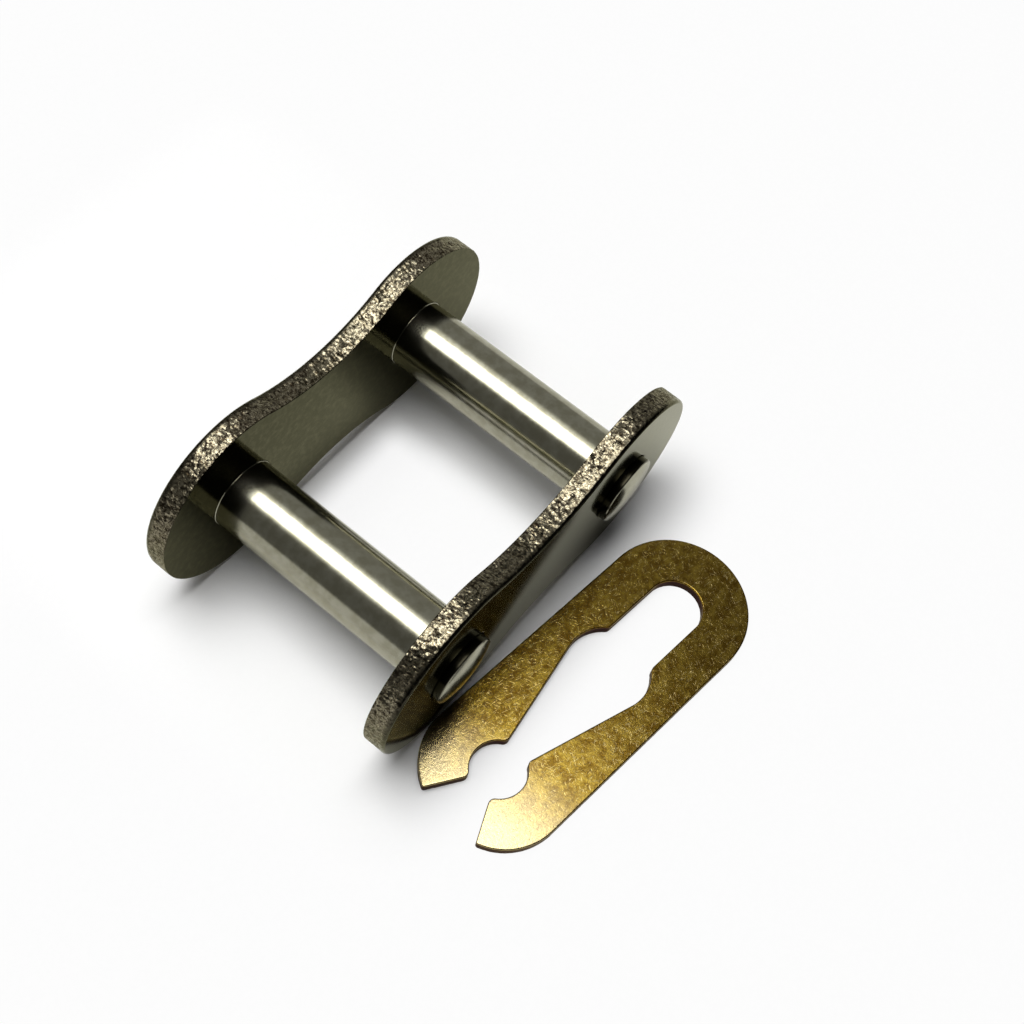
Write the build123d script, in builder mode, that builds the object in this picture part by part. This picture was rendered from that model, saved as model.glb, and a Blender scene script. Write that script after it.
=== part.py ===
from build123d import *
import os

# Connecting link of a 3/4 inch pitch roller chain, with its spring clip taken off and laid in front.
# Millimetres. +X is the direction of travel, -Y is the side of the cover plate and the clip, +Z is up.
# The origin is on the trailing pin's axis, midway between the two link plates.

# Chain
pitch = 19.05
working_width = 17.0          # between the link plates when the clip is on
cover_standoff = 1.2          # how far the cover plate stands off that place while the clip is off

# Link plates
plate_height = 15.5
waist_height = 11.3
plate_thickness = 1.8
roll_depth = 0.3              # stamped roll-over round the outer face: down the edge
roll_inset = 0.2              # and in over the face
hole_edge_break = 0.12
face_tolerance = 0.01         # how near a plate's face an edge has to lie to belong to it

# Pins
pin_diameter = 5.6
cover_clearance = 0.04        # radial, pin in the cover plate's hole
seat_taper = 0.05             # the pin's radius falls by this much along each plate's seat
rivet_spread = 0.35           # the riveted end spreads into its countersink by this much
rivet_proud = 0.5
rivet_crown_diameter = 3.2
rivet_dome_share = 0.7        # of its height, that the dome has half way between rim and crown
groove_setback = 0.05         # axial, between the clip groove and the cover plate in its working place
groove_width = 1.1
groove_diameter = 4.2
cap_length = 1.05             # from the clip groove to the pin's free end
cap_flat_diameter = 4.5       # flat middle of the free end
cap_crown = 0.1               # rise of the free end's shallow crown
cap_edge = 0.12               # small bevel round the crown

# Spring clip
clip_thickness = 1.0
clip_width = 11.65
clip_seat_clearance = 0.12    # radial, closed end round the pin's groove
clip_notch_clearance = 0.05   # radial, open end round the pin's groove
relief_diameter = 6.64        # widening in the middle of the slot
relief_distance = 7.55        # from the closed end's seat to the relief
leg_angle = 13.9              # each leg's inner edge against the clip's axis
mouth_angle = 28.9            # each lead-in edge against the clip's axis
mouth_reach = 9.8             # length of each lead-in edge from the notch's middle, past the tips
tail_radius = 4.9
tail_overrun = 0.35           # the tail arcs are centred this far behind the notch
jaw_rounding = 0.5
relief_rounding = 0.6
tip_rounding = 0.2
clip_edge_break = 0.08

# Where the clip lies, on the surface that the link stands on
clip_turn = -6.8              # degrees, seen from above
clip_shift = 1.8              # its closed end's middle lies this far short of the leading pin's axis
clip_gap = 0.1                # between its tail and the cover plate

inner_face = (working_width + cover_standoff) / 2
outer_face = inner_face + plate_thickness
pin_radius = pin_diameter / 2
groove_radius = groove_diameter / 2
floor_z = -plate_height / 2
pin_places = {"leading_pin": pitch, "trailing_pin": 0.0}
clip_tail = Vector(-pitch - tail_overrun, clip_width / 2 - tail_radius).rotate(Axis.Z, clip_turn)
clip_seat = Vector(pitch - clip_shift, -outer_face - clip_gap - tail_radius - clip_tail.Y, floor_z)


def plate_outline():
    """Figure-eight outline about the plate's centre: two round ends joined by hollow waist arcs."""
    end_radius = plate_height / 2
    waist = waist_height / 2
    half_pitch = pitch / 2
    waist_radius = (half_pitch**2 + waist**2 - end_radius**2) / (2 * (end_radius - waist))
    end_share = end_radius / (end_radius + waist_radius)
    touch_x = half_pitch * (1 - end_share)
    touch_z = (waist + waist_radius) * end_share
    with BuildSketch() as outline:
        with BuildLine():
            ThreePointArc((touch_x, touch_z), (half_pitch + end_radius, 0), (touch_x, -touch_z))
            ThreePointArc((touch_x, -touch_z), (0, -waist), (-touch_x, -touch_z))
            ThreePointArc((-touch_x, -touch_z), (-half_pitch - end_radius, 0), (-touch_x, touch_z))
            ThreePointArc((-touch_x, touch_z), (0, waist), (touch_x, touch_z))
        make_face()
    return outline.sketch


def plate_plane(y):
    """Upright plane across the link at y, centred between the pins and facing -Y."""
    return Plane(origin=(pitch / 2, y, 0), x_dir=(1, 0, 0), z_dir=(0, -1, 0))


def pin_section():
    """Half of a pin's lengthwise section: x is the radius and y runs along the pin, plates included."""
    seat_end_radius = pin_radius - seat_taper
    seat_start = inner_face - working_width
    groove_start = seat_start - plate_thickness - groove_setback
    groove_end = groove_start - groove_width
    free_end = groove_end - cap_length
    cap_rim = free_end + cap_crown
    rivet_rim = seat_end_radius + rivet_spread
    crown_radius = rivet_crown_diameter / 2
    crown = outer_face + rivet_proud
    dome_radius = (rivet_rim + crown_radius) / 2
    dome = outer_face + rivet_dome_share * rivet_proud
    with BuildSketch() as section:
        with BuildLine():
            Polyline(
                (rivet_rim, outer_face),
                (seat_end_radius, outer_face - rivet_spread),
                (pin_radius, inner_face),
                (pin_radius, seat_start),
                (seat_end_radius, groove_start),
                (groove_radius, groove_start),
                (groove_radius, groove_end),
                (pin_radius, groove_end),
                (pin_radius, cap_rim + cap_edge),
                (pin_radius - cap_edge, cap_rim),
                (cap_flat_diameter / 2, free_end),
                (0, free_end),
                (0, crown),
                (crown_radius, crown),
            )
            ThreePointArc((crown_radius, crown), (dome_radius, dome), (rivet_rim, outer_face))
        make_face()
    return section.sketch


def pin_axis(x):
    return Axis((x, 0, 0), (0, 1, 0))


def pin_plane(x):
    """Level plane through a pin's axis at x."""
    return Plane(origin=(x, 0, 0), x_dir=(1, 0, 0), z_dir=(0, 0, 1))


def hole_rims(plate, y):
    """The round edges of the pin holes in the plate's face at y."""
    circles = plate.edges().filter_by(GeomType.CIRCLE).filter_by(lambda edge: edge.is_closed)
    return circles.filter_by_position(Axis.Y, y - face_tolerance, y + face_tolerance)


# Cover plate: slides off the pins, which have a running fit in its two holes
with BuildPart() as cover_plate:
    with BuildSketch(plate_plane(-inner_face)):
        add(plate_outline())
    extrude(amount=plate_thickness)
    rolled_face = cover_plate.faces().sort_by(Axis.Y)[0]
    chamfer(rolled_face.edges(), roll_inset, roll_depth, reference=rolled_face)
    with BuildSketch(plate_plane(-inner_face)):
        with GridLocations(pitch, 0, 2, 1):
            Circle(pin_radius + cover_clearance)
    extrude(amount=plate_thickness, mode=Mode.SUBTRACT)
    chamfer(hole_rims(cover_plate, -inner_face) + hole_rims(cover_plate, -outer_face), hole_edge_break)
cover_plate.part.label = "cover_plate"

# Pin plate: the pins are pressed in from its inner face and riveted over on its outer face
with BuildPart() as pin_plate:
    with BuildSketch(plate_plane(inner_face)):
        add(plate_outline())
    extrude(amount=-plate_thickness)
    rolled_face = pin_plate.faces().sort_by(Axis.Y)[-1]
    chamfer(rolled_face.edges(), roll_inset, roll_depth, reference=rolled_face)
    for x in pin_places.values():
        with BuildSketch(pin_plane(x)):
            add(pin_section())
        revolve(axis=pin_axis(x), mode=Mode.SUBTRACT)
    chamfer(hole_rims(pin_plate, inner_face), hole_edge_break)
pin_plate.part.label = "pin_plate"

# Pins: plain bearing body, clip groove and chamfered cap at the free end, riveted head at the other
pins = []
for pin_name, x in pin_places.items():
    with BuildPart() as pin:
        with BuildSketch(pin_plane(x)):
            add(pin_section())
        revolve(axis=pin_axis(x))
    pin.part.label = pin_name
    pins.append(pin.part)


def clip_opening():
    """The clip's slot, from the closed end's round seat to the open mouth; x runs towards the closed end."""
    seat_radius = groove_radius + clip_seat_clearance
    notch_radius = groove_radius + clip_notch_clearance
    relief_radius = relief_diameter / 2
    jaw_rise = Vector(relief_radius, 0).rotate(Axis.Z, 90 + leg_angle)
    jaw_run = Vector(pitch - relief_distance, 0).rotate(Axis.Z, 180 + leg_angle)
    relief_touch = Vector(-relief_distance, 0) + jaw_rise
    jaw_end = relief_touch + jaw_run
    notch = Vector(-pitch, 0)
    mouth_corner = notch + Vector(mouth_reach, 0).rotate(Axis.Z, 180 - mouth_angle)
    relief_end = relief_radius - relief_distance
    with BuildSketch() as opening:
        Circle(seat_radius)
        with Locations((-relief_distance / 2, 0)):
            Rectangle(relief_distance, 2 * seat_radius)
        with Locations((-relief_distance, 0)):
            Circle(relief_radius)
        with BuildLine():
            Polyline(
                (relief_touch.X, relief_touch.Y),
                (jaw_end.X, jaw_end.Y),
                (jaw_end.X, -jaw_end.Y),
                (relief_touch.X, -relief_touch.Y),
                close=True,
            )
        make_face()
        with Locations(notch):
            Circle(notch_radius)
        with BuildLine():
            Polyline(
                (notch.X, notch.Y),
                (mouth_corner.X, mouth_corner.Y),
                (mouth_corner.X, -mouth_corner.Y),
                close=True,
            )
        make_face()
        relief_corners = opening.vertices().filter_by_position(Axis.X, -relief_distance, relief_end)
        fillet(relief_corners, relief_rounding)
        notch_ends = (notch.X - notch_radius, notch.X + notch_radius)
        jaw_corners = opening.vertices().filter_by_position(Axis.X, *notch_ends)
        fillet(jaw_corners, jaw_rounding)
    return opening.sketch


# Spring clip: flat strip of spring steel round a keyhole slot, open at the tail
clip_plane = Plane(origin=clip_seat, z_dir=(0, 0, 1)).rotated((0, 0, clip_turn))
with BuildPart() as spring_clip:
    with BuildSketch(clip_plane) as clip_outline:
        Circle(clip_width / 2)
        with Locations((-(pitch + tail_overrun) / 2, 0)):
            Rectangle(pitch + tail_overrun, clip_width)
        with Locations((-pitch - tail_overrun, 0)):
            with GridLocations(0, clip_width - 2 * tail_radius, 1, 2):
                Circle(tail_radius)
        add(clip_opening(), mode=Mode.SUBTRACT)
        fillet(clip_outline.vertices().sort_by(Axis.X)[:2], tip_rounding)
    extrude(amount=clip_thickness)
    chamfer(spring_clip.faces().sort_by(Axis.Z)[-1].edges(), clip_edge_break)
    chamfer(spring_clip.faces().sort_by(Axis.Z)[0].edges(), clip_edge_break)
spring_clip.part.label = "spring_clip"

os.makedirs("parts", exist_ok=True)
for piece in [cover_plate.part, pin_plate.part, spring_clip.part] + pins:
    export_step(piece, "parts/" + piece.label + ".step")
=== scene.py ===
import math

import bmesh
import bpy
from mathutils import Matrix, Vector


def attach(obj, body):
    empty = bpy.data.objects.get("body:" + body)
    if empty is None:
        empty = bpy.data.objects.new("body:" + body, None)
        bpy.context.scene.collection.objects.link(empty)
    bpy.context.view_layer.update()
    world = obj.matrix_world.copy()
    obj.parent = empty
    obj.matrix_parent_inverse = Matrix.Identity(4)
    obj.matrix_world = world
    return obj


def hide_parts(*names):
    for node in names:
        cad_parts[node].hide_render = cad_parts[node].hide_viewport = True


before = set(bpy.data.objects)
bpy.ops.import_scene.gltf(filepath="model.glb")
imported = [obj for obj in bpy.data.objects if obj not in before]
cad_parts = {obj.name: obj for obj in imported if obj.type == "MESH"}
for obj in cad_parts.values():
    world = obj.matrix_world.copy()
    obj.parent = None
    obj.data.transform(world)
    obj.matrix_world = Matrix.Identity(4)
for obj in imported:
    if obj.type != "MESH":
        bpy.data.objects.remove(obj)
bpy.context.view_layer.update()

MM = 0.001

# The link's sizes in metres, as in the solids
PITCH = 19.05 * MM
HALF_PITCH = PITCH / 2
PIN_TRAVEL = 25.0 * MM  # how far the pins draw back from where they stand
INNER_FACE = 9.1 * MM
PLATE_THICKNESS = 1.8 * MM
OUTER_FACE = INNER_FACE + PLATE_THICKNESS
END_RADIUS = 7.75 * MM
WAIST = 5.65 * MM
ROLL_INSET = 0.2 * MM
ROLL_DEPTH = 0.3 * MM
SHEAR_BREAK = 0.05 * MM
HOLE_BREAK = 0.12 * MM
COVER_HOLE = 2.84 * MM
PIN_RADIUS = 2.8 * MM
SEAT_END_RADIUS = 2.75 * MM
SEAT_START = -7.9 * MM
GROOVE_START = -9.75 * MM
GROOVE_END = -10.85 * MM
GROOVE_RADIUS = 2.1 * MM
FREE_END = -11.9 * MM
RIVET_SPREAD = 0.35 * MM
RIVET_PROUD = 0.5 * MM
RIVET_CROWN = 1.6 * MM
FLOOR = -END_RADIUS
CLIP_THICKNESS = 1.0 * MM
CLIP_HALF_WIDTH = 5.821 * MM  # 4 microns under the solid's, to stay inside its box
CLIP_SEAT = 2.22 * MM
CLIP_NOTCH = 2.15 * MM
RELIEF_RADIUS = 3.32 * MM
RELIEF_PLACE = -7.55 * MM
LEG_ANGLE = math.radians(13.9)
MOUTH_ANGLE = math.radians(28.9)
TAIL_RADIUS = 4.9 * MM
TAIL_PLACE = Vector((-19.4 * MM, CLIP_HALF_WIDTH - TAIL_RADIUS))
JAW_ROUNDING = 0.5 * MM
RELIEF_ROUNDING = 0.6 * MM
TIP_ROUNDING = 0.2 * MM
CLIP_TURN = math.radians(-6.8)
CLIP_PLACE = Vector((17.25 * MM, -19.1155 * MM))

# Small forms that the solids leave out
ROLL_SHEAR = 0.35  # how torn the edge is where the rolled-over part ends, from 0 to 1
CLIP_ROLL = 0.08 * MM
FACE_RIM = 0.05 * MM  # narrow rings that keep the faces flat beside the edge and the bores
BORE_RIM = 0.04 * MM
DOME_DROP = 0.34 * MM
CAP_EDGE = 0.08 * MM
CAP_ROUNDING = 0.06 * MM
GROOVE_ROUNDING = 0.03 * MM
FOOT_FLARE = 0.045 * MM
RIVET_RIM_ROUNDING = 0.02 * MM
RIVET_SLOPE_ROUNDING = 0.8 * MM
RIVET_CROWN_ROUNDING = 0.5 * MM
PLATE_PIT_SIZE = 0.33 * MM
PLATE_PIT_DEPTH = 0.055 * MM
CLIP_PIT_SIZE = 0.25 * MM
CLIP_PIT_DEPTH = 0.015 * MM

# Fineness of the meshes
FACET = 0.09 * MM
LEAST_ARC_FACETS = 4
BORE_SEGMENTS = 160
PIN_SEGMENTS = 192
ROLL_STEPS = 6
BREAK_STEPS = 3
CORNER_STEPS = 5
DOME_STEPS = 12
WELD = 0.0005 * MM
SLIVER = 0.0002 * MM
SHARP_EDGE = math.radians(38)


# Nodes: maths is written with Python's operators, any other node through Tree.add

class Value:
    """The output of a node; operators on it add Math nodes to its tree."""

    def __init__(self, tree, socket):
        self.tree = tree
        self.socket = socket

    def other(self, name):
        """Another output of the same node."""
        return Value(self.tree, self.socket.node.outputs[name])

    def maths(self, operation, *inputs, clamp=False):
        settings = {"operation": operation, "use_clamp": clamp}
        return self.tree.add("ShaderNodeMath", settings, dict(enumerate(inputs)))

    def __add__(self, other):
        return self.maths("ADD", self, other)

    def __radd__(self, other):
        return self.maths("ADD", other, self)

    def __sub__(self, other):
        return self.maths("SUBTRACT", self, other)

    def __rsub__(self, other):
        return self.maths("SUBTRACT", other, self)

    def __mul__(self, other):
        return self.maths("MULTIPLY", self, other)

    def __rmul__(self, other):
        return self.maths("MULTIPLY", other, self)

    def __truediv__(self, other):
        return self.maths("DIVIDE", self, other)

    def __rtruediv__(self, other):
        return self.maths("DIVIDE", other, self)

    def __mod__(self, other):
        return self.maths("FLOORED_MODULO", self, other)

    def __pow__(self, other):
        return self.maths("POWER", self, other)

    def beyond(self, limit):
        """How far the value goes past a limit, and 0 before it."""
        return self.maths("MAXIMUM", self - limit, 0.0)

    def between(self, low, high):
        """0 at low and below, 1 at high and above, eased in between."""
        settings = {"interpolation_type": "SMOOTHSTEP"}
        inputs = {"Value": self, "From Min": low, "From Max": high}
        return self.tree.add("ShaderNodeMapRange", settings, inputs)


def in_use(sockets, name=None):
    """The sockets that a node's settings leave in use, all of them or those of one name."""
    return [socket for socket in sockets if socket.enabled and name in (None, socket.name)]


class Tree:
    """A node tree that is being written."""

    def __init__(self, nodes):
        self.nodes = nodes

    def add(self, kind, settings=None, inputs=None, output=None):
        """Adds a node: its settings come first, then values or links of its sockets.

        Inputs go by name or number. The output is the first one in use, or the one named.
        """
        node = self.nodes.nodes.new(kind)
        for name, setting in (settings or {}).items():
            setattr(node, name, setting)
        for name, value in (inputs or {}).items():
            socket = node.inputs[name] if isinstance(name, int) else in_use(node.inputs, name)[0]
            if isinstance(value, Value):
                self.nodes.links.new(value.socket, socket)
            else:
                socket.default_value = value
        return Value(self, in_use(node.outputs, output)[0])

    def vector(self, operation, first, second):
        """A Vector Math node on two vectors."""
        return self.add("ShaderNodeVectorMath", {"operation": operation}, {0: first, 1: second})

    def scaled(self, vector, by):
        """A vector times a number."""
        inputs = {"Vector": vector, "Scale": by}
        return self.add("ShaderNodeVectorMath", {"operation": "SCALE"}, inputs)

    def mix(self, low, high, share):
        """A colour between two colours."""
        inputs = {"Factor": share, "A": low, "B": high}
        return self.add("ShaderNodeMix", {"data_type": "RGBA"}, inputs)

    def axis(self, place, name):
        """One of a vector's numbers: X, Y or Z."""
        return self.add("ShaderNodeSeparateXYZ", {}, {"Vector": place}, name)

    def place(self):
        """Where a point lies in the link's frame."""
        return self.add("ShaderNodeTexCoord", output="Object")

    def carried(self, name):
        """A number that the mesh carries at each point."""
        return self.add("ShaderNodeAttribute", {"attribute_name": name}, output="Fac")

    def noise(self, place, size, detail=2.0, roughness=0.5):
        """Noise from 0 to 1 whose features are about size metres across."""
        inputs = {"Vector": place, "Scale": 1 / size, "Detail": detail, "Roughness": roughness}
        return self.add("ShaderNodeTexNoise", {}, inputs)

    def stretched(self, place, stretch, turn=(0.0, 0.0, 0.0)):
        """The place turned, then scaled by a number along each axis."""
        turned = self.add("ShaderNodeMapping", {}, {"Vector": place, "Rotation": turn})
        return self.add("ShaderNodeMapping", {}, {"Vector": turned, "Scale": stretch})


def rgb(red, green, blue):
    return (red, green, blue, 1.0)


def grey(shade):
    return rgb(shade, shade, shade)


def material(name, write):
    """A material whose nodes are written by the given function on a fresh Principled shader."""
    made = bpy.data.materials.new(name)
    made.use_nodes = True
    shader = made.node_tree.nodes["Principled BSDF"]
    write(Tree(made.node_tree), shader)
    return made


def feed(tree, shader, **values):
    """Sets or links the shader's sockets, whose names are written with underscores."""
    for name, value in values.items():
        socket = shader.inputs[name.replace("_", " ")]
        if isinstance(value, Value):
            tree.nodes.links.new(value.socket, socket)
        else:
            socket.default_value = value


def bump(tree, height, depth, normal=None):
    """A normal from a height between 0 and 1 that stands for depth metres."""
    inputs = {"Strength": 1.0, "Distance": depth, "Height": height}
    if normal is not None:
        inputs["Normal"] = normal
    return tree.add("ShaderNodeBump", {}, inputs)


def facets(tree, place, size):
    """Height, in facet sizes, of a surface broken into small flat facets that lean at random."""
    inputs = {"Vector": place, "Scale": 1 / size, "Randomness": 0.9}
    centre = tree.add("ShaderNodeTexVoronoi", {}, inputs, "Position")
    away = tree.vector("SUBTRACT", place, centre)
    lean = tree.vector("SUBTRACT", centre.other("Color"), (0.5, 0.5, 0.5))
    return tree.vector("DOT_PRODUCT", away, lean) / size


# Finishes: before each one its colours and the sizes of its grain

SOOT = rgb(0.003, 0.003, 0.002)
RUBBED_SOOT = rgb(0.045, 0.042, 0.027)
TORN_DULL = rgb(0.092, 0.077, 0.046)
TORN_BRIGHT = rgb(0.25, 0.225, 0.160)
OIL_STAIN = rgb(0.020, 0.014, 0.007)
PIT_BLACK = rgb(0.008, 0.006, 0.003)
SHEET_SHEEN = rgb(0.84, 0.83, 0.68)
SHEET_MOTTLE = 0.5 * MM
SHEET_GRAIN = 0.13 * MM
SHEET_RELIEF = 0.0013 * MM
TORN_FACET = 0.22 * MM
TORN_RELIEF = 0.068 * MM
TORN_STRETCH = (1.0, 0.62, 1.0)  # the tears run through the sheet's thickness


def blackened_sheet(tree, shader):
    """Blackened, oiled sheet steel; its sheared edge is torn into bright facets and dark cracks."""
    place = tree.place()
    sheared = tree.carried("sheared")
    pit = tree.carried("pit")
    mottle = tree.noise(place, SHEET_MOTTLE, 5.0, 0.65)
    grain = tree.noise(place, SHEET_GRAIN, 3.0, 0.6)
    drawn = tree.stretched(place, TORN_STRETCH)
    speckle = tree.noise(drawn, TORN_FACET, 4.0, 0.65)
    sooty = tree.mix(SOOT, RUBBED_SOOT, mottle.between(0.38, 0.80))
    bright = tree.mix(TORN_DULL, TORN_BRIGHT, grain.between(0.35, 0.65))
    stained = tree.mix(bright, OIL_STAIN, speckle.between(0.50, 0.60) * 0.92)
    pitted = tree.mix(stained, PIT_BLACK, pit.between(0.40, 0.95) * 0.9)
    colour = tree.mix(sooty, pitted, sheared)
    roughness = 0.085 + mottle * 0.03 + sheared * (0.05 + speckle * 0.16)
    face_normal = bump(tree, grain * 0.15 + mottle * 0.7, SHEET_RELIEF)
    torn = facets(tree, drawn, TORN_FACET) * 1.25 + speckle * 0.25
    normal = bump(tree, torn * sheared, TORN_RELIEF, face_normal)
    feed(tree, shader, Base_Color=colour, Metallic=1.0, Roughness=roughness, Normal=normal,
         Specular_Tint=SHEET_SHEEN)


GROUND_DULL = rgb(0.245, 0.235, 0.170)
GROUND_BRIGHT = rgb(0.30, 0.292, 0.225)
NICK_BROWN = rgb(0.10, 0.090, 0.060)
# painted shade for the cap's side and the groove by the free end
STUB_PAINTED_SHADE = rgb(0.022, 0.020, 0.013)
PIN_SHEEN = rgb(0.95, 0.94, 0.86)
GRINDING_RING = 0.06 * MM
GRINDING_STRETCH = (0.04, 1.0, 0.04)  # the rings run round the pin
PIN_GRAIN = 0.08 * MM
PIN_CLOUD = 0.8 * MM
PIN_NICK = 0.35 * MM
NICK_STRETCH = (1.0, 0.35, 1.0)
PIN_RELIEF = 0.0016 * MM


def ground_pin(tree, shader):
    """Hardened pin steel, ground bright with faint rings; painted black shade on the free end's cap
    side and groove.
    """
    place = tree.place()
    rings = tree.noise(tree.stretched(place, GRINDING_STRETCH), GRINDING_RING, 3.0, 0.6)
    grain = tree.noise(place, PIN_GRAIN, 2.0, 0.5)
    cloud = tree.noise(place, PIN_CLOUD, 4.0, 0.6)
    nick = tree.noise(tree.stretched(place, NICK_STRETCH), PIN_NICK, 2.0, 0.5)
    plain = tree.mix(GROUND_DULL, GROUND_BRIGHT, cloud.between(0.35, 0.65))
    ground = tree.mix(plain, NICK_BROWN, nick.between(0.70, 0.80) * 0.5)
    length = tree.axis(place, "Y")
    cap = FREE_END + DOME_DROP
    past_cap = length.between(cap, cap + CAP_EDGE)
    before_seat = 1.0 - length.between(GROOVE_END, GROOVE_START)
    # painted shade: black over the cap's side and the groove, for the shade and dark reflection
    # there
    colour = tree.mix(ground, STUB_PAINTED_SHADE, past_cap * before_seat)
    roughness = 0.125 + rings * 0.05 + cloud * 0.04
    normal = bump(tree, rings * 0.35 + grain * 0.30 + nick * 0.6, PIN_RELIEF)
    feed(tree, shader, Base_Color=colour, Metallic=1.0, Roughness=roughness, Normal=normal,
         Specular_Tint=PIN_SHEEN)


BRONZE_DARK = rgb(0.098, 0.054, 0.003)
BRONZE_BRIGHT = rgb(0.215, 0.145, 0.020)
FLECK_GOLD = rgb(0.36, 0.26, 0.07)
# painted highlight, paler towards the clip's tips
PAINTED_TIP_HIGHLIGHT = rgb(0.46, 0.40, 0.24)
SCRATCH_GOLD = rgb(0.50, 0.41, 0.20)
# painted shade for the clip's sheared edges
CLIP_EDGE_PAINTED_SHADE = rgb(0.018, 0.010, 0.005)
CLIP_SHEEN = rgb(0.45, 0.38, 0.26)
CLIP_MOTTLE = 0.7 * MM
CLIP_FLECK = 0.20 * MM
CLIP_RELIEF = 0.009 * MM
SCRATCH_WIDTH = 0.075 * MM
SCRATCH_STRETCH = (0.16, 1.0, 0.16)
SCRATCH_LAYERS = ((0.3, 0.66), (1.25, 0.68), (2.2, 0.67), (2.8, 0.70))  # (turn, noise to pass)
SCRATCH_EDGE = 0.07
TIP_HIGHLIGHT_START, TIP_HIGHLIGHT_END = 1.5 * MM, -5.5 * MM  # along X, towards the clip's tips, where the painted highlight starts and is full


def tempered_clip(tree, shader):
    """Spring steel tempered a mottled bronze, finely scratched, with a painted highlight on its
    tips and painted shade on its edges.
    """
    place = tree.place()
    sheared = tree.carried("sheared")
    mottle = tree.noise(place, CLIP_MOTTLE, 5.0, 0.65)
    fleck = tree.noise(place, CLIP_FLECK, 4.0, 0.7)
    scratches = 0.0
    for turn, keep in SCRATCH_LAYERS:
        drawn = tree.stretched(place, SCRATCH_STRETCH, (0.0, 0.0, turn))
        layer = tree.noise(drawn, SCRATCH_WIDTH, 1.0, 0.4)
        scratches = layer.between(keep, keep + SCRATCH_EDGE) + scratches
    bronze = tree.mix(BRONZE_DARK, BRONZE_BRIGHT, mottle.between(0.35, 0.68))
    flecked = tree.mix(bronze, FLECK_GOLD, fleck.between(0.54, 0.72) * 0.5)
    # painted highlight: paler towards the tips, where the lamp's reflection falls
    tip = 1.0 - tree.axis(place, "X").between(TIP_HIGHLIGHT_END, TIP_HIGHLIGHT_START)
    tip_highlighted = tree.mix(flecked, PAINTED_TIP_HIGHLIGHT, tip * (0.35 + fleck * 0.4))
    scratched = tree.mix(tip_highlighted, SCRATCH_GOLD, scratches * 0.35)
    # painted shade: the sheared edges are painted near black for the contact shade beside them
    colour = tree.mix(scratched, CLIP_EDGE_PAINTED_SHADE, sheared * 0.97)
    roughness = 0.150 + mottle * 0.05 + sheared * 0.15
    normal = bump(tree, fleck * 0.8 + mottle * 0.4 - scratches * 0.15, CLIP_RELIEF)
    feed(tree, shader, Base_Color=colour, Metallic=1.0, Roughness=roughness, Normal=normal,
         Specular_Tint=CLIP_SHEEN, Coat_Weight=0.10, Coat_Roughness=0.15)


PLATE_STEEL = material("blackened_sheet_steel", blackened_sheet)
PIN_STEEL = material("ground_pin_steel", ground_pin)
CLIP_STEEL = material("tempered_spring_steel", tempered_clip)


# Outlines: closed lists of (point, direction out of the metal), a facet's length apart

def angle_of(vector):
    return math.atan2(vector.y, vector.x)


def arc(centre, radius, start, sweep, outward=1):
    """Points on an arc but its last one; outward is -1 where the metal lies outside the circle."""
    count = max(LEAST_ARC_FACETS, math.ceil(abs(sweep) * radius / FACET))
    found = []
    for step in range(count):
        angle = start + sweep * step / count
        away = Vector((math.cos(angle), math.sin(angle)))
        found.append((Vector(centre) + away * radius, away * outward))
    return found


def arc_between(centre, radius, start, end, sense, outward=1):
    """An arc from one point to another; sense is 1 anticlockwise and -1 clockwise."""
    first = angle_of(start - centre)
    sweep = (angle_of(end - centre) - first) % (2 * math.pi)
    if sense < 0:
        sweep -= 2 * math.pi
    return arc(centre, radius, first, sweep, outward)


def line(start, end, outward):
    """Points on a straight edge without its last one."""
    count = max(1, math.ceil((end - start).length / FACET))
    return [(start.lerp(end, step / count), outward) for step in range(count)]


def plate_outline():
    """Two round ends and two hollow waist arcs."""
    waist_radius = (HALF_PITCH**2 + WAIST**2 - END_RADIUS**2) / (2 * (END_RADIUS - WAIST))
    waist_centre = WAIST + waist_radius
    touch = math.atan2(waist_centre, -HALF_PITCH)
    hollow = math.atan2(HALF_PITCH, waist_centre)
    found = []
    for side in (1, -1):
        facing = 0.0 if side > 0 else math.pi
        found += arc((side * HALF_PITCH, 0), END_RADIUS, facing - touch, 2 * touch)
        start = hollow - side * math.pi / 2
        found += arc((0, side * waist_centre), waist_radius, start, -2 * hollow, -1)
    return found


def rolling_centres(point, direction, side, centre, reach):
    """The two points that lie side metres off a line and reach metres from a centre.

    The first one lies further along the line's direction.
    """
    normal = Vector((-direction.y, direction.x))
    start = point + normal * side - centre
    shift = start.dot(direction)
    root = math.sqrt(shift**2 - start.length_squared + reach**2)
    return [centre + start + direction * (sign * root - shift) for sign in (1, -1)]


def foot(centre, direction, rounding):
    """Where a rounding touches a straight edge that runs in the given direction."""
    return centre + Vector((-direction.y, direction.x)) * rounding


def toward(centre, other, rounding):
    """Where a rounding touches an arc about another centre."""
    return centre + (other - centre).normalized() * rounding


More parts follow.
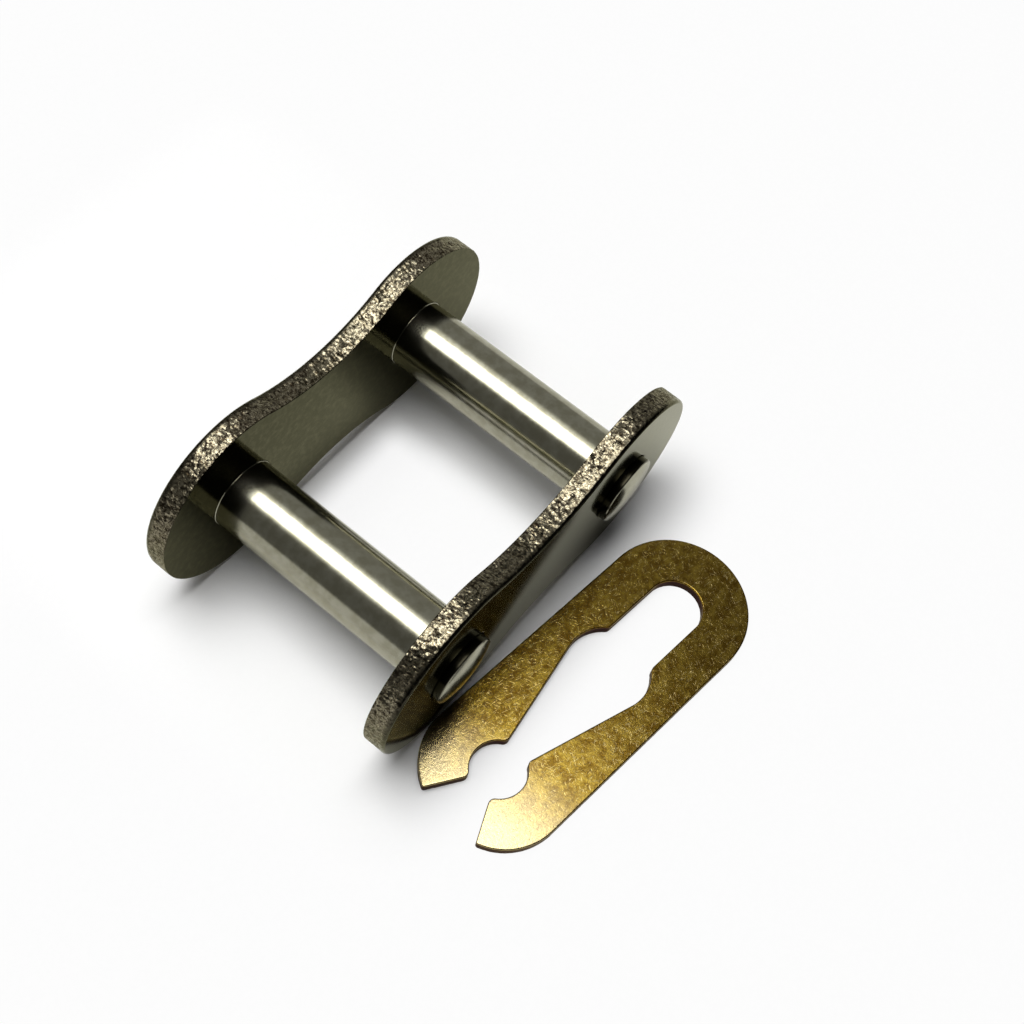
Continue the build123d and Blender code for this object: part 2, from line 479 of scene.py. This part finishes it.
def clip_outline():
    """Half of the outline from the closed end's inside to its outside, then its mirror image."""
    origin = Vector((0.0, 0.0))
    notch = Vector((-PITCH, 0.0))
    relief = Vector((RELIEF_PLACE, 0.0))
    back = Vector((-1.0, 0.0))
    jaw = Vector((-math.cos(LEG_ANGLE), -math.sin(LEG_ANGLE)))
    mouth = Vector((-math.cos(MOUTH_ANGLE), math.sin(MOUTH_ANGLE)))
    touch = relief + Vector((jaw.y, -jaw.x)) * RELIEF_RADIUS
    seat_top = Vector((0.0, CLIP_SEAT))
    side_start = Vector((TAIL_PLACE.x, CLIP_HALF_WIDTH))

    reach = RELIEF_RADIUS + RELIEF_ROUNDING
    shoulder = rolling_centres(seat_top, back, -RELIEF_ROUNDING, relief, reach)[1]
    reach = CLIP_NOTCH + JAW_ROUNDING
    jaw_tip = rolling_centres(touch, jaw, -JAW_ROUNDING, notch, reach)[1]
    mouth_tip = rolling_centres(notch, mouth, -JAW_ROUNDING, notch, reach)[0]
    reach = TAIL_RADIUS - TIP_ROUNDING
    tail_tip = rolling_centres(notch, mouth, -TIP_ROUNDING, TAIL_PLACE, reach)[0]

    shoulder_start = foot(shoulder, back, RELIEF_ROUNDING)
    shoulder_end = toward(shoulder, relief, RELIEF_ROUNDING)
    jaw_end = foot(jaw_tip, jaw, JAW_ROUNDING)
    notch_start = toward(jaw_tip, notch, JAW_ROUNDING)
    notch_end = toward(mouth_tip, notch, JAW_ROUNDING)
    mouth_start = foot(mouth_tip, mouth, JAW_ROUNDING)
    mouth_end = foot(tail_tip, mouth, TIP_ROUNDING)
    tail_start = TAIL_PLACE + (tail_tip - TAIL_PLACE).normalized() * TAIL_RADIUS

    half = arc(origin, CLIP_SEAT, 0.0, math.pi / 2, -1)
    half += line(seat_top, shoulder_start, Vector((0.0, -1.0)))
    half += arc_between(shoulder, RELIEF_ROUNDING, shoulder_start, shoulder_end, -1)
    half += arc_between(relief, RELIEF_RADIUS, shoulder_end, touch, 1, -1)
    half += line(touch, jaw_end, Vector((-jaw.y, jaw.x)))
    half += arc_between(jaw_tip, JAW_ROUNDING, jaw_end, notch_start, -1)
    half += arc_between(notch, CLIP_NOTCH, notch_start, notch_end, 1, -1)
    half += arc_between(mouth_tip, JAW_ROUNDING, notch_end, mouth_start, -1)
    half += line(mouth_start, mouth_end, Vector((-mouth.y, mouth.x)))
    half += arc_between(tail_tip, TIP_ROUNDING, mouth_end, tail_start, -1)
    half += arc_between(TAIL_PLACE, TAIL_RADIUS, tail_start, side_start, -1)
    half += line(side_start, Vector((0.0, CLIP_HALF_WIDTH)), Vector((0.0, 1.0)))
    half += arc(origin, CLIP_HALF_WIDTH, math.pi / 2, -math.pi / 2)

    nose = (Vector((CLIP_HALF_WIDTH, 0.0)), Vector((1.0, 0.0)))
    mirrored = [(Vector((p.x, -p.y)), Vector((n.x, -n.y))) for p, n in reversed(half[1:])]
    return half + [nose] + mirrored


# Meshes

def shown(name, mesh):
    """A new object in the scene."""
    thing = bpy.data.objects.new(name, mesh)
    bpy.context.scene.collection.objects.link(thing)
    return thing


def finished(name, mesh, body, node):
    """A smooth, outward-facing piece that rides on a body and stands for a CAD node."""
    shaped = bmesh.new()
    shaped.from_mesh(mesh)
    bmesh.ops.remove_doubles(shaped, verts=shaped.verts, dist=WELD)
    bmesh.ops.dissolve_degenerate(shaped, edges=shaped.edges, dist=SLIVER)
    bmesh.ops.recalc_face_normals(shaped, faces=shaped.faces)
    for face in shaped.faces:
        face.smooth = True
    shaped.to_mesh(mesh)
    shaped.free()
    mesh.set_sharp_from_angle(angle=SHARP_EDGE)
    piece = shown(name, mesh)
    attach(piece, body)
    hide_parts(node)


def evaluated(thing, tree, **inputs):
    """The plain mesh that a Geometry Nodes tree makes of a thing, which is then thrown away."""
    modifier = thing.modifiers.new(tree.name, "NODES")
    modifier.node_group = tree
    for item in tree.interface.items_tree:
        key = item.name.replace(" ", "_").lower()
        if key in inputs:
            modifier[item.identifier] = inputs[key]
    depsgraph = bpy.context.evaluated_depsgraph_get()
    mesh = bpy.data.meshes.new_from_object(thing.evaluated_get(depsgraph))
    thing.modifiers.remove(modifier)
    bpy.data.objects.remove(thing)
    return mesh


def slab(outline, section, bores, place):
    """A flat piece: its outline carries an edge section, and bores pass through it.

    A section's points are (inset, depth, shear). A bore is a centre and (radius, depth) points.
    """
    shaped = bmesh.new()
    sheared = shaped.verts.layers.float.new("sheared")
    first_rims, last_rims = [], []

    def skin(rings):
        for upper, lower in zip(rings, rings[1:]):
            count = len(upper)
            for step in range(count):
                after = (step + 1) % count
                shaped.faces.new((upper[step], upper[after], lower[after], lower[step]))
        for rim, rims in ((rings[0], first_rims), (rings[-1], last_rims)):
            rims += [shaped.edges.get((rim[step - 1], rim[step])) for step in range(len(rim))]

    rings = []
    for inset, depth, shear in section:
        ring = []
        for point, outward in outline:
            flat = point - outward * inset
            vert = shaped.verts.new(place @ Vector((flat.x, flat.y, depth)))
            vert[sheared] = shear
            ring.append(vert)
        rings.append(ring)
    skin(rings)
    for centre, profile in bores:
        rings = []
        for radius, depth in profile:
            ring = []
            for step in range(BORE_SEGMENTS):
                angle = 2 * math.pi * step / BORE_SEGMENTS
                corner = (centre + radius * math.cos(angle), radius * math.sin(angle), depth)
                ring.append(shaped.verts.new(place @ Vector(corner)))
            rings.append(ring)
        skin(rings)
    for rims in (first_rims, last_rims):
        bmesh.ops.triangle_fill(shaped, edges=rims, use_beauty=True)
    bmesh.ops.recalc_face_normals(shaped, faces=shaped.faces)
    for face in shaped.faces:
        face.smooth = True
    mesh = bpy.data.meshes.new("slab")
    shaped.to_mesh(mesh)
    shaped.free()
    return shown("slab", mesh)


def edge_section(thickness, roll_inset, roll_depth, break_size, roll_shear):
    """Edge section from the rolled face to the other one, as (inset, depth, shear)."""
    found = [(roll_inset + FACE_RIM, 0.0, 0.0)]
    for step in range(ROLL_STEPS + 1):
        angle = math.pi / 2 * step / ROLL_STEPS
        inset, depth = roll_inset * (1 - math.sin(angle)), roll_depth * (1 - math.cos(angle))
        found.append((inset, depth, roll_shear * step / ROLL_STEPS))
    flat = thickness - roll_depth - break_size
    rows = math.ceil(flat / FACET)
    for row in range(1, rows):
        shear = 1.0 if row > 1 else (1.0 + roll_shear) / 2
        found.append((0.0, roll_depth + flat * row / rows, shear))
    for step in range(BREAK_STEPS + 1):
        angle = math.pi / 2 * step / BREAK_STEPS
        inset, rise = break_size * (1 - math.cos(angle)), break_size * (1 - math.sin(angle))
        found.append((inset, thickness - rise, 1.0 - step / BREAK_STEPS))
    found.append((break_size + FACE_RIM, thickness, 0.0))
    return found


def broken_rim(radius, face, inward):
    """Where a bore opens into a face: its broken edge, then a narrow ring on the face itself."""
    middle = HOLE_BREAK * 0.3
    return (
        (radius, face + inward * HOLE_BREAK),
        (radius + middle, face + inward * middle),
        (radius + HOLE_BREAK, face),
        (radius + HOLE_BREAK + BORE_RIM, face),
    )


def rounded(corners):
    """A profile through corners of (radius, length, rounding)."""
    found = []
    for index, (x, y, rounding) in enumerate(corners):
        corner = Vector((x, y))
        if rounding == 0:
            found.append(corner)
            continue
        before = (Vector(corners[index - 1][:2]) - corner).normalized()
        after = (Vector(corners[index + 1][:2]) - corner).normalized()
        opening = before.angle(after)
        reach = rounding / math.tan(opening / 2)
        centre = corner + (before + after).normalized() * rounding / math.sin(opening / 2)
        start, end = corner + before * reach - centre, corner + after * reach - centre
        for step in range(CORNER_STEPS + 1):
            found.append(centre + start.slerp(end, step / CORNER_STEPS) * rounding)
    return found


# Geometry Nodes

def new_tree(name, sockets):
    """A Geometry Nodes tree with named inputs, its input node and its output node."""
    nodes = bpy.data.node_groups.new(name, "GeometryNodeTree")
    nodes.interface.new_socket("Geometry", in_out="INPUT", socket_type="NodeSocketGeometry")
    nodes.interface.new_socket("Geometry", in_out="OUTPUT", socket_type="NodeSocketGeometry")
    for socket, kind, value in sockets:
        made = nodes.interface.new_socket(socket, in_out="INPUT", socket_type="NodeSocket" + kind)
        made.default_value = value
    tree = Tree(nodes)
    tree.entry = nodes.nodes.new("NodeGroupInput")
    tree.exit = nodes.nodes.new("NodeGroupOutput")
    return tree


def given(tree, name):
    """One of the tree's named inputs."""
    return Value(tree, tree.entry.outputs[name])


def close_tree(tree, geometry, steel):
    """Realize Instances and Set Material end every tree."""
    real = tree.add("GeometryNodeRealizeInstances", {}, {"Geometry": geometry})
    dressed = tree.add("GeometryNodeSetMaterial", {}, {"Geometry": real, "Material": steel})
    tree.nodes.links.new(dressed.socket, tree.exit.inputs["Geometry"])
    return tree.nodes


def pitting_tree(name, steel, pit_size, pit_depth):
    """Sinks pits and cracks into the sheared edge of a stamped piece."""
    tree = new_tree(name, (
        ("Pit Size", "Float", pit_size),
        ("Pit Depth", "Float", pit_depth),
        ("Seed", "Float", 3.0),
    ))
    size, seed = given(tree, "Pit Size"), given(tree, "Seed")
    place = tree.add("GeometryNodeInputPosition")
    sheared = tree.add("GeometryNodeInputNamedAttribute", {"data_type": "FLOAT"}, {
        "Name": "sheared",
    })
    wander = tree.add("ShaderNodeTexNoise", {"noise_dimensions": "4D"}, {
        "Vector": place, "W": seed, "Scale": 1.4 / size, "Detail": 2.0,
    }, "Color")
    bent = tree.vector("ADD", place, tree.scaled(wander, size * 0.9))
    cells = {"voronoi_dimensions": "4D", "feature": "DISTANCE_TO_EDGE"}
    grains = tree.add("ShaderNodeTexVoronoi", cells, {
        "Vector": bent, "W": seed, "Scale": 1.0 / size,
    })
    rough = tree.add("ShaderNodeTexNoise", {"noise_dimensions": "4D"}, {
        "Vector": bent, "W": seed, "Scale": 0.9 / size, "Detail": 3.0,
    })
    crack = 1.0 - grains.between(0.0, 0.16)
    pit = crack * 0.7 + rough.between(0.5, 0.75) * 0.5
    depth = pit * sheared * given(tree, "Pit Depth")
    offset = tree.scaled(tree.add("GeometryNodeInputNormal"), 0.0 - depth)
    point_number = {"data_type": "FLOAT", "domain": "POINT"}
    stored = tree.add("GeometryNodeStoreNamedAttribute", point_number, {
        "Geometry": given(tree, "Geometry"), "Name": "pit", "Value": pit * sheared,
    })
    moved = tree.add("GeometryNodeSetPosition", {}, {"Geometry": stored, "Offset": offset})
    return close_tree(tree, moved, steel)


def turning_tree(name, steel):
    """Turns a profile of points (radius along X, length along Y) into a round piece.

    The profile's points become the rows of a grid, whose columns go round the axis. Place is
    the axis's place along X.
    """
    tree = new_tree(name, (("Place", "Float", 0.0), ("Segments", "Int", PIN_SEGMENTS)))
    profile, segments = given(tree, "Geometry"), given(tree, "Segments")
    count = tree.add("GeometryNodeAttributeDomainSize", {"component": "MESH"}, {
        "Geometry": profile,
    })
    columns = segments + 1
    grid = tree.add("GeometryNodeMeshGrid", {}, {
        "Size X": 1.0, "Size Y": 1.0, "Vertices X": count, "Vertices Y": columns,
    })
    index = tree.add("GeometryNodeInputIndex")
    column = index % columns
    row = (index - column) / columns
    point_vector = {"data_type": "FLOAT_VECTOR", "domain": "POINT"}
    position = tree.add("GeometryNodeInputPosition")
    point = tree.add("GeometryNodeSampleIndex", point_vector, {
        "Geometry": profile, "Value": position, "Index": row + 0.01,
    })
    radius = tree.axis(point, "X")
    length = radius.other("Y")
    angle = column / segments * (2 * math.pi)
    across = radius * angle.maths("COSINE", angle) + given(tree, "Place")
    upward = radius * angle.maths("SINE", angle)
    wrapped = tree.add("ShaderNodeCombineXYZ", {}, {"X": across, "Y": length, "Z": upward})
    moved = tree.add("GeometryNodeSetPosition", {}, {"Geometry": grid, "Position": wrapped})
    welded = tree.add("GeometryNodeMergeByDistance", {}, {"Geometry": moved, "Distance": WELD})
    return close_tree(tree, welded, steel)


PITTED_PLATE = pitting_tree("pitted_plate_edge", PLATE_STEEL, PLATE_PIT_SIZE, PLATE_PIT_DEPTH)
PITTED_CLIP = pitting_tree("pitted_clip_edge", CLIP_STEEL, CLIP_PIT_SIZE, CLIP_PIT_DEPTH)
TURNED_PIN = turning_tree("turned_pin", PIN_STEEL)

# Link plates
plate_section = edge_section(PLATE_THICKNESS, ROLL_INSET, ROLL_DEPTH, SHEAR_BREAK, ROLL_SHEAR)
rivet_rim = SEAT_END_RADIUS + RIVET_SPREAD
cover_bore = (
    *reversed(broken_rim(COVER_HOLE, 0.0, 1)),
    *broken_rim(COVER_HOLE, PLATE_THICKNESS, -1),
)
riveted_bore = (
    (rivet_rim + BORE_RIM, 0.0),
    (rivet_rim, 0.0),
    (SEAT_END_RADIUS, RIVET_SPREAD),
    *broken_rim(PIN_RADIUS, PLATE_THICKNESS, -1),
)
for name, node, body, side, bore, seed in (
    ("stamped_cover_plate", "cover_plate", "cover", -1, cover_bore, 3.0),
    ("stamped_pin_plate", "pin_plate", "pin_link", 1, riveted_bore, 7.0),
):
    stood_up = Matrix((
        (1, 0, 0, HALF_PITCH),
        (0, 0, -side, side * OUTER_FACE),
        (0, 1, 0, 0),
        (0, 0, 0, 1),
    ))
    bores = [(HALF_PITCH, bore), (-HALF_PITCH, bore)]
    blank = slab(plate_outline(), plate_section, bores, stood_up)
    pitting = {"pit_size": PLATE_PIT_SIZE, "pit_depth": PLATE_PIT_DEPTH, "seed": seed}
    finished(name, evaluated(blank, PITTED_PLATE, **pitting), body, node)

# Pins, from the domed free end to the riveted head
cap_radius = PIN_RADIUS - CAP_EDGE
cap_start = FREE_END + DOME_DROP
flare_start = INNER_FACE - FOOT_FLARE * 1.6
flare_bend = INNER_FACE - FOOT_FLARE * 0.8
slope_radius = (rivet_rim + RIVET_CROWN) / 2
slope_top = OUTER_FACE + RIVET_PROUD * 0.75
rivet_top = OUTER_FACE + RIVET_PROUD
dome = []
for step in range(DOME_STEPS):
    share = step / DOME_STEPS
    dome.append((cap_radius * share, FREE_END + DOME_DROP * share**2, 0))
pin_profile = rounded((
    *dome,
    (cap_radius, cap_start, CAP_ROUNDING),
    (PIN_RADIUS, cap_start + CAP_EDGE, CAP_ROUNDING),
    (PIN_RADIUS, GROOVE_END, GROOVE_ROUNDING),
    (GROOVE_RADIUS, GROOVE_END, GROOVE_ROUNDING),
    (GROOVE_RADIUS, GROOVE_START, GROOVE_ROUNDING),
    (SEAT_END_RADIUS, GROOVE_START, GROOVE_ROUNDING),
    (PIN_RADIUS, SEAT_START, 0),
    (PIN_RADIUS, 0.0, 0),
    (PIN_RADIUS, flare_start, 0),
    (PIN_RADIUS, flare_bend, FOOT_FLARE),
    (PIN_RADIUS + FOOT_FLARE, INNER_FACE, 0),
    (PIN_RADIUS, INNER_FACE + FOOT_FLARE, 0),
    (SEAT_END_RADIUS, OUTER_FACE - RIVET_SPREAD, 0),
    (rivet_rim, OUTER_FACE, RIVET_RIM_ROUNDING),
    (slope_radius, slope_top, RIVET_SLOPE_ROUNDING),
    (RIVET_CROWN, rivet_top, RIVET_CROWN_ROUNDING),
    (0.0, rivet_top, 0),
))
for name, node, axis in (
    ("turned_leading_pin", "leading_pin", PITCH),
    ("turned_trailing_pin", "trailing_pin", 0.0),
):
    wire = bpy.data.meshes.new(name)
    wire.from_pydata([(*point, 0.0) for point in pin_profile], [], [])
    mesh = evaluated(shown(name + "_profile", wire), TURNED_PIN, place=axis, segments=PIN_SEGMENTS)
    finished(name, mesh, "pin_link", node)

# Spring clip, flat on the floor with its rolled edge up
laid_down = (
    Matrix.Translation((*CLIP_PLACE, FLOOR + CLIP_THICKNESS))
    @ Matrix.Rotation(CLIP_TURN, 4, "Z")
    @ Matrix.Diagonal((1, 1, -1, 1))
)
clip_section = edge_section(CLIP_THICKNESS, CLIP_ROLL, CLIP_ROLL, SHEAR_BREAK, 0.0)
blank = slab(clip_outline(), clip_section, [], laid_down)
pitting = {"pit_size": CLIP_PIT_SIZE, "pit_depth": CLIP_PIT_DEPTH, "seed": 5.0}
finished("tempered_spring_clip", evaluated(blank, PITTED_CLIP, **pitting), "cover", "spring_clip")


# Floor

FLOOR_REACH = 1.5
PAPER_FIBRE = 0.4 * MM
PAPER_WHITE = grey(0.99)
FIBRE_WHITE = grey(0.97)
PAPER_LIT = grey(0.40)

# The lift is the share of plain white that shows in place of the lit paper
LIFT_NEAR, LIFT_FAR = 1.5 * MM, 8 * MM  # how far off the link it starts and is full
LIFT_AT_REST = 0.5
LIFT_PAST_TRAVEL = 0.47
PAINTED_LIGHT_IN_WINDOW = 0.85
WINDOW_HALF_LENGTH = (4 * MM, 7.5 * MM)  # full up to the first, none past the second
WINDOW_HALF_WIDTH = (6 * MM, 9.2 * MM)


def paper(tree, shader):
    """Matt paper, white to the eye and in the metal, which throws little light back on the link.

    It keeps the link's shadow near the plates. Further off it clears to plain white, but only half
    way where the pin plate draws back, so that the plate keeps a shadow there too. In the window
    between the plates, glowing white is painted over the shadow: painted light.
    """
    place = tree.place()
    white = tree.mix(FIBRE_WHITE, PAPER_WHITE, tree.noise(place, PAPER_FIBRE, 3.0))
    camera_ray = tree.add("ShaderNodeLightPath", output="Is Camera Ray")
    mirrored = camera_ray.other("Is Glossy Ray") + camera_ray.other("Is Transmission Ray")
    seen = camera_ray.maths("ADD", camera_ray, mirrored, clamp=True)
    feed(tree, shader, Base_Color=tree.mix(PAPER_LIT, white, seen), Roughness=0.9,
         Specular_IOR_Level=0.1)

    length = tree.axis(place, "X")
    width = length.other("Y")
    from_waist = length.maths("ABSOLUTE", length - HALF_PITCH)
    from_middle = width.maths("ABSOLUTE", width)
    past_end = from_waist.beyond(HALF_PITCH + END_RADIUS)
    past_cover = (0.0 - width).beyond(OUTER_FACE)
    past_back = width.beyond(OUTER_FACE)
    past_travel = width.beyond(OUTER_FACE + PIN_TRAVEL)

    def clear_of_link(back):
        """How clear a place is of the link, whose back is as far past as given."""
        away = (past_end * past_end + past_cover * past_cover + back * back) ** 0.5
        return away.between(LIFT_NEAR, LIFT_FAR)

    at_rest = clear_of_link(past_back)
    drawn_back = clear_of_link(past_travel)
    # painted light: glowing white laid over the link's shadow in the window between the plates
    in_length = 1.0 - from_waist.between(*WINDOW_HALF_LENGTH)
    in_width = 1.0 - from_middle.between(*WINDOW_HALF_WIDTH)
    window = in_length * in_width
    lift = at_rest * LIFT_AT_REST + drawn_back * LIFT_PAST_TRAVEL + window * PAINTED_LIGHT_IN_WINDOW
    plain = tree.add("ShaderNodeEmission", {}, {"Color": white, "Strength": 1.0})
    lit = Value(tree, shader.outputs["BSDF"])
    surface = tree.add("ShaderNodeMixShader", {}, {0: lift * seen, 1: lit, 2: plain})
    output = tree.nodes.nodes["Material Output"]
    tree.nodes.links.new(surface.socket, output.inputs["Surface"])


floor_mesh = bpy.data.meshes.new("floor")
square = ((-1, -1), (1, -1), (1, 1), (-1, 1))
corners = [(x * FLOOR_REACH, y * FLOOR_REACH, FLOOR) for x, y in square]
floor_mesh.from_pydata(corners, [], [(0, 1, 2, 3)])
floor_mesh.materials.append(material("white_paper", paper))
shown("floor", floor_mesh)


# Sky: each part's aim, and how far a direction faces it where the part starts and is full

EAST, EAST_TURN = (1.0, 0.0, 0.0), (-0.65, 0.60)
NORTH, NORTH_TURN = (0.0, 1.0, 0.0), (-0.22, 0.14)
OVERHEAD, GLOW_RIM = (-0.035, 0.29, 0.956), (0.87, 0.975)
DARK_WALL = rgb(0.025, 0.025, 0.024)
WEST_WALL = rgb(0.20, 0.20, 0.196)
EAST_WALL = rgb(0.42, 0.42, 0.413)
GLOW = rgb(2.1, 2.1, 2.08)


def studio(sky):
    """Dark towards the south, lit walls to the north, palest in the east, and a glow overhead."""
    direction = sky.add("ShaderNodeTexCoord", output="Generated")

    def facing(aim, turn):
        return sky.vector("DOT_PRODUCT", direction, aim).between(*turn)

    lit = sky.mix(WEST_WALL, EAST_WALL, facing(EAST, EAST_TURN))
    walls = sky.mix(DARK_WALL, lit, facing(NORTH, NORTH_TURN))
    return sky.mix(walls, GLOW, facing(OVERHEAD, GLOW_RIM))


world = bpy.data.worlds.new("studio")
bpy.context.scene.world = world
world.use_nodes = True
background = world.node_tree.nodes["Background"]
world.node_tree.links.new(studio(Tree(world.node_tree)).socket, background.inputs["Color"])


# Lamp: its fades are shares of its length and width

LAMP_LENGTH, LAMP_WIDTH = 0.28, 0.18
LAMP_ENERGY = 1.08
LAMP_PLACE = (0.0, 0.045, 0.22)
START_FADE, END_FADE = (0.125, 0.285), (0.75, 0.87)
NEAR_FADE, FAR_FADE = (0.08, 0.21), (0.78, 0.92)
LEAN_FADE, LEAN = (0.18, 0.40), 0.15


def soft_box(box):
    """The lamp's strength over its face: it fades towards its four rims, one of which leans."""
    face = box.add("ShaderNodeNewGeometry", output="Parametric")
    length = box.axis(face, "X")
    width = length.other("Y")
    leaning = length + width.between(*LEAN_FADE) * LEAN
    ends = length.between(*START_FADE) * (1.0 - leaning.between(*END_FADE))
    sides = width.between(*NEAR_FADE) * (1.0 - width.between(*FAR_FADE))
    return ends * sides


lamp = bpy.data.lights.new("soft_box", "AREA")
lamp.shape = "RECTANGLE"
lamp.size, lamp.size_y = LAMP_LENGTH, LAMP_WIDTH
lamp.energy = LAMP_ENERGY
lamp.use_nodes = True
emission = lamp.node_tree.nodes["Emission"]
lamp.node_tree.links.new(soft_box(Tree(lamp.node_tree)).socket, emission.inputs["Strength"])
shown("soft_box", lamp).location = LAMP_PLACE


# Camera

CAMERA_PLACE = (-32.66 * MM, -27.52 * MM, 89.57 * MM)
AZIMUTH, ELEVATION, ROLL = -1.1244, 1.0672, 0.2575
SENSOR_WIDTH, LENS = 36.0, 49.31  # millimetres, as Blender takes them

camera = bpy.data.cameras.new("camera")
camera.sensor_width = SENSOR_WIDTH
camera.lens = LENS
camera.clip_start = 0.005
backward = Vector((
    math.sin(AZIMUTH) * math.cos(ELEVATION),
    -math.cos(AZIMUTH) * math.cos(ELEVATION),
    math.sin(ELEVATION),
))
level = Vector((0, 0, 1)).cross(backward).normalized()
upright = backward.cross(level)
rightward = level * math.cos(ROLL) + upright * math.sin(ROLL)
upward = upright * math.cos(ROLL) - level * math.sin(ROLL)
turn = Matrix((rightward, upward, backward)).transposed()
viewer = shown("camera", camera)
viewer.matrix_world = Matrix.Translation(CAMERA_PLACE) @ turn.to_4x4()
bpy.context.scene.camera = viewer
bpy.context.scene.view_settings.view_transform = "Standard"
